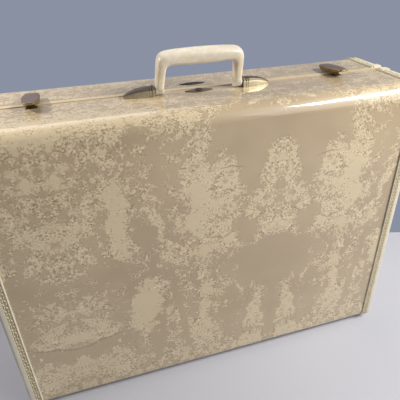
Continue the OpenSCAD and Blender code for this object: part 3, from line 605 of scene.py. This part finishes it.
def latch_cover(end):
    """A popped-up cover with its tab and lugs."""
    low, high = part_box(f"latch_cover_{end}")
    pin = Vector(((low.x + high.x) / 2, LATCH_PIVOT_D * MM, TOP + LATCH_PIVOT_H * MM))
    popped = Matrix.Translation(pin) @ Matrix.Rotation(-LATCH_POP, 4, "X") \
        @ Matrix.Translation((0, -LATCH_PIVOT_D * MM, -LATCH_PIVOT_H * MM))
    outline, middle = latch_outline(), Vector((0, (LATCH_REAR - LATCH_FRONT) / 2))

    def level(z, inset, share=1.0):
        ring = []
        for point, way in outline:
            p = middle.lerp(point - way * inset, share)
            height = max(z, latch_skirt(p.y) + LATCH_PRESSED * (z - LATCH_SKIRT_LOW))
            ring.append(popped @ (Vector((p.x, p.y, height)) * MM))
        return ring

    boat = bmesh.new()
    rings = [level(z, inset) for z, inset in LATCH_LEVELS]
    rings += [level(z, LATCH_LEVELS[-1][1], share) for z, share in LATCH_CROWN]
    draw_out(boat, rings, step_paint=LATCH_PAINT)
    # The tab and the lugs under a cover take the brass painted dark as shade
    for centre, size in LATCH_BLOCKS:
        stand = popped @ Matrix.Translation(Vector(centre) * MM)
        stand = stand @ Matrix.Diagonal([c * MM for c in size] + [1])
        block = bmesh.ops.create_cube(boat, size=1.0, matrix=stand)
        for side in {f for v in block["verts"] for f in v.link_faces}:
            side.material_index = 2
    show(f"latch_boat_{end}", boat, [bronze, flank_brass_with_painted_shade, inside_brass_painted_shade], f"latch_{end}", 42,
         [f"latch_cover_{end}"])


for half in HALVES:
    for end in ENDS:
        binding(half, end)
        stitching(half, end)
handle()
for end in ENDS:
    mount(end)
    latch_cover(end)

# Finishes of the pieces that are shown as built, with edges past an angle kept sharp
SHARP_ANGLE = math.radians(25)
finishes = {
    vinyl: ["body_shell", "lid_shell"],
    end_vinyl: ["body_end_left", "body_end_right", "lid_end_left", "lid_end_right"],
    front_rim: ["body_rim"],
    rear_rim: ["lid_rim"],
    cloth: ["body_lining", "lid_lining"],
    brass: ["body_feet", "lid_feet", "hinge_leaf_body_left", "hinge_leaf_body_right",
            "hinge_leaf_lid_left", "hinge_leaf_lid_right", "mount_rivets"],
    binding_cream: ["body_clips", "lid_clips"],
    # keepers in the hollow under the covers, painted dark as shade
    inside_brass_painted_shade: ["latch_keeper_left", "latch_keeper_right"],
    dark_bronze_and_painted_reflection: ["lock_plate"],
    blackened: ["lock_cylinder"],
    steel: ["hinge_pin_left", "hinge_pin_right", "handle_pin_left", "handle_pin_right",
            "lock_case", "lock_strike", "latch_bracket_left", "latch_bracket_right",
            "latch_pin_left", "latch_pin_right", "latch_spring_left", "latch_spring_right"],
    black: ["strike_cover"],
}
for finish, names in finishes.items():
    for name in names:
        mesh = nodes[name].data
        mesh.materials.clear()
        mesh.materials.append(finish)
        mesh.shade_smooth()
        mesh.set_sharp_from_angle(angle=SHARP_ANGLE)

# Softened edges of the small metalwork, the clips and the raised rim, in millimetres
SOFT_FROM_ANGLE = math.radians(50)
SOFT_EDGES = {
    0.4: ["lid_rim"],
    0.3: ["lock_plate", "latch_keeper_left", "latch_keeper_right"],
    0.2: ["lock_cylinder", "strike_cover", "body_clips", "lid_clips", "hinge_leaf_body_left",
          "hinge_leaf_body_right", "hinge_leaf_lid_left", "hinge_leaf_lid_right"],
}
for width, names in SOFT_EDGES.items():
    for name in names:
        soft = nodes[name].modifiers.new("soft_edge", "BEVEL")
        soft.width = width * MM
        soft.segments = 2
        soft.limit_method = "ANGLE"
        soft.angle_limit = SOFT_FROM_ANGLE


# Floor, light and camera, in metres

# A point on the floor's rear edge, the turn of that edge and half the floor's length
FLOOR_EDGE, FLOOR_TURN, FLOOR_HALF = (0.545, 0.112, 0), math.radians(-15.5), 4.0
FLOOR_GREY, WALL_GREY = tone(200, 203, 216), tone(138, 145, 163)
AROUND_COLOUR, AROUND_STRENGTH = (0.90, 0.85, 0.77, 1), 0.12
# Lamps, as (name, place, aim, width and height, watts, colour)
LAMPS = [
    ("window", (0.844, -0.57, 1.115), (0.12, -0.05, 0.40), (0.60, 0.20), 17, (1.0, 0.96, 0.89)),
    ("front_right", (1.15, -1.1, 0.85), (0.2, -0.1, 0.3), (1.2, 0.9), 7.2, (1.0, 0.97, 0.92)),
    ("left_lamp", (-0.55, 0.08, 0.73), (-0.1, 0.0, 0.46), (0.06, 0.06), 2.2, (1.0, 0.95, 0.90)),
    ("ceiling", (-0.2, 0.90, 1.50), (-0.1, 0.05, 0.4), (1.4, 0.8), 5.0, (1.0, 0.97, 0.94)),
]
VIEW_PLACE = (-0.16363, -0.54779, 0.63247)
VIEW_TURN, VIEW_DOWN, VIEW_ROLL = [math.radians(a) for a in (16.83, 32.12, -0.92)]
# Width of the film and length of the lens, in millimetres
FILM_W, LENS = 36, 36.816


def floor():
    """Pale table top that ends in a straight edge close behind the case."""
    mesh = bpy.data.meshes.new("floor")
    made = bmesh.new()
    edge = Matrix.Translation(FLOOR_EDGE) @ Matrix.Rotation(FLOOR_TURN, 4, "Z")
    bmesh.ops.create_grid(made, x_segments=1, y_segments=1, size=FLOOR_HALF,
                          matrix=edge @ Matrix.Translation((0, -FLOOR_HALF, 0)))
    made.to_mesh(mesh)
    made.free()
    material, tree, shader = paint("pale_floor")
    fill(tree, shader, Base_Color=FLOOR_GREY, Roughness=0.5)
    mesh.materials.append(material)
    piece = bpy.data.objects.new("floor", mesh)
    bpy.context.scene.collection.objects.link(piece)


def lamp(name, place, aim, size, watts, colour):
    """A soft lamp that is not seen itself."""
    data = bpy.data.lights.new(name, "AREA")
    data.energy, data.color = watts, colour
    data.shape = "RECTANGLE"
    data.size, data.size_y = size
    piece = bpy.data.objects.new(name, data)
    piece.location = place
    piece.rotation_mode = "QUATERNION"
    piece.rotation_quaternion = (Vector(aim) - Vector(place)).to_track_quat("-Z", "Y")
    piece.visible_camera = False
    bpy.context.scene.collection.objects.link(piece)


def surroundings():
    """Soft light from all round, before a plain blue-grey wall."""
    world = bpy.data.worlds.new("studio")
    bpy.context.scene.world = world
    world.use_nodes = True
    tree = world.node_tree
    around = tree.nodes["Background"]
    fill(tree, around, Color=AROUND_COLOUR, Strength=AROUND_STRENGTH)
    wall = step(tree, "ShaderNodeBackground", Color=WALL_GREY)
    path = step(tree, "ShaderNodeLightPath").outputs
    mirrored = sums(tree, "MAXIMUM", path["Is Glossy Ray"], path["Is Transmission Ray"])
    seen = sums(tree, "MAXIMUM", path["Is Camera Ray"], mirrored)
    both = step(tree, "ShaderNodeMixShader")
    give_all(tree, both.inputs, (seen, around.outputs["Background"], wall.outputs["Background"]))
    fill(tree, tree.nodes["World Output"], Surface=both.outputs["Shader"])


def camera():
    """Seen from the front left and above, with a wide lens."""
    flat = math.cos(VIEW_DOWN)
    ahead = Vector((math.sin(VIEW_TURN) * flat, math.cos(VIEW_TURN) * flat, -math.sin(VIEW_DOWN)))
    aside = Vector((math.cos(VIEW_TURN), -math.sin(VIEW_TURN), 0))
    above = aside.cross(ahead)
    right = aside * math.cos(VIEW_ROLL) + above * math.sin(VIEW_ROLL)
    up = above * math.cos(VIEW_ROLL) - aside * math.sin(VIEW_ROLL)
    data = bpy.data.cameras.new("view")
    data.sensor_width, data.lens, data.clip_start = FILM_W, LENS, 20 * MM
    piece = bpy.data.objects.new("view", data)
    axes = Matrix((right, up, -ahead)).transposed().to_4x4()
    piece.matrix_world = Matrix.Translation(VIEW_PLACE) @ axes
    bpy.context.scene.collection.objects.link(piece)
    bpy.context.scene.camera = piece


floor()
for settings in LAMPS:
    lamp(*settings)
surroundings()
bpy.context.scene.view_settings.view_transform = "Standard"
camera()
